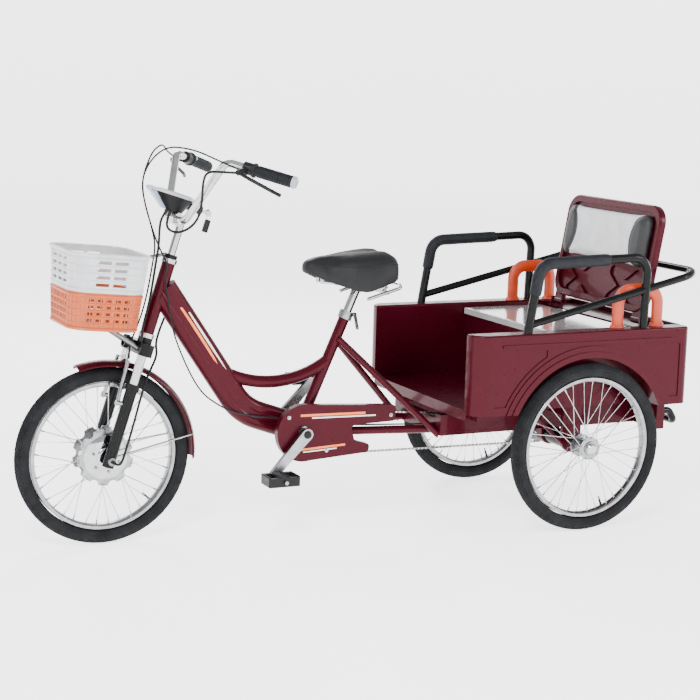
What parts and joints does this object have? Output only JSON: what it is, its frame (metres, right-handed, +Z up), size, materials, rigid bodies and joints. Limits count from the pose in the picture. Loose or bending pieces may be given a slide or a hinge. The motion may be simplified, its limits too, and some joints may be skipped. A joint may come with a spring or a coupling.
{
  "type": "electric tricycle",
  "caption": "Wine-red electric tricycle with a hub motor, wire-spoked wheels, an open rear box with bench and folding backrest, and a two-tone basket on the bars.",
  "frame": {"origin": "middle of the overall length and width, on the ground", "axes": "+X forward, +Y to the rider's left, +Z up"},
  "size_m": [2.018, 0.764, 1.1078],
  "materials": {
    "paint": "gloss",
    "black_tube": "gloss",
    "chrome": "polished",
    "alloy": "satin",
    "tyre": "matte",
    "grip_rubber": "matte",
    "orange_plastic": "satin",
    "white_plastic": "satin",
    "saddle_vinyl": "satin",
    "seat_sheet": "gloss",
    "steel": "satin",
    "lamp_lens": "clear",
    "black_plastic": "matte",
    "cushion_fabric": "matte",
    "cable_sleeve": "satin"
  },
  "bodies": {
    "frame": {"head_tube": "paint", "headset_cups": "chrome", "main_beam": "paint", "seat_tube": "paint", "step_tube": "paint", "stay_bridge": "paint", "chain_stays": "paint", "seat_stays": "paint", "seat_clamp": "alloy", "chassis_rails": "paint", "chassis_bearers": "paint", "axle_hangers": "paint", "axle_tubes": "black_tube", "box_floor": "paint", "side_wall_left": "paint", "side_wall_right": "paint", "rear_panel": "paint", "bench_front": "paint", "battery_box": "black_plastic", "rear_shelf": "paint", "guard_rail": "black_tube", "armrest_left": "black_tube", "armrest_right": "black_tube", "armrest_pads": "grip_rubber", "hand_loops": "orange_plastic", "rear_bumper": "black_tube", "seat_post": "chrome", "saddle": "saddle_vinyl", "chain": "steel", "chain_cover": "paint", "frame_cables": "cable_sleeve"},
    "steering": {"fork_crown": "black_tube", "fork_stanchions": "chrome", "fork_lowers": "black_tube", "front_axle": "steel", "front_fender": "paint", "handlebar_stem": "chrome", "handlebar": "chrome", "grips": "grip_rubber", "brake_levers": "black_plastic", "lamp_pod": "black_plastic", "lamp_lens": "lamp_lens", "basket_lower": "orange_plastic", "basket_upper": "white_plastic", "basket_bracket": "steel", "front_brake": "alloy", "horn": "black_plastic", "steering_cables": "cable_sleeve"},
    "front_wheel": {"front_tyre": "tyre", "front_wheel": "alloy"},
    "rear_left_wheel": {"rear_left_tyre": "tyre", "rear_left_wheel": "alloy"},
    "rear_right_wheel": {"rear_right_tyre": "tyre", "rear_right_wheel": "alloy"},
    "crank": {"crankset": "alloy"},
    "left_pedal": {"pedal_left": "black_plastic"},
    "right_pedal": {"pedal_right": "black_plastic"},
    "bench_lid": {"seat_lid": "seat_sheet"},
    "backrest": {"backrest_panel": "paint", "backrest_cushion": "cushion_fabric"}
  },
  "joints": [
    {"name": "steer", "type": "hinge", "parent": "frame", "child": "steering", "pos_m": [0.60198, 0, 0.68648], "axis": [-0.3007, 0, 0.9537], "range_deg": [-50, 50]},
    {"name": "front_wheel_spin", "type": "hinge", "parent": "steering", "child": "front_wheel", "pos_m": [0.759, 0, 0.25], "axis": [0, 1, 0], "continuous": true},
    {"name": "rear_left_spin", "type": "hinge", "parent": "frame", "child": "rear_left_wheel", "pos_m": [-0.608, 0.34, 0.25], "axis": [0, 1, 0], "continuous": true},
    {"name": "rear_right_spin", "type": "hinge", "parent": "frame", "child": "rear_right_wheel", "pos_m": [-0.608, -0.34, 0.25], "axis": [0, 1, 0], "continuous": true},
    {"name": "crank_spin", "type": "hinge", "parent": "frame", "child": "crank", "pos_m": [0.185, 0, 0.292], "axis": [0, 1, 0], "continuous": true},
    {"name": "left_pedal_spin", "type": "hinge", "parent": "crank", "child": "left_pedal", "pos_m": [0.28769, 0.16, 0.17993], "axis": [0, 1, 0], "continuous": true},
    {"name": "right_pedal_spin", "type": "hinge", "parent": "crank", "child": "right_pedal", "pos_m": [0.08231, -0.16, 0.40407], "axis": [0, 1, 0], "continuous": true},
    {"name": "lid_hinge", "type": "hinge", "parent": "frame", "child": "bench_lid", "pos_m": [-0.83, 0, 0.572], "axis": [0, 1, 0], "range_deg": [-75, 0]},
    {"name": "backrest_fold", "type": "hinge", "parent": "frame", "child": "backrest", "pos_m": [-0.853, 0, 0.6], "axis": [0, 1, 0], "range_deg": [0, 82]}
  ]
}
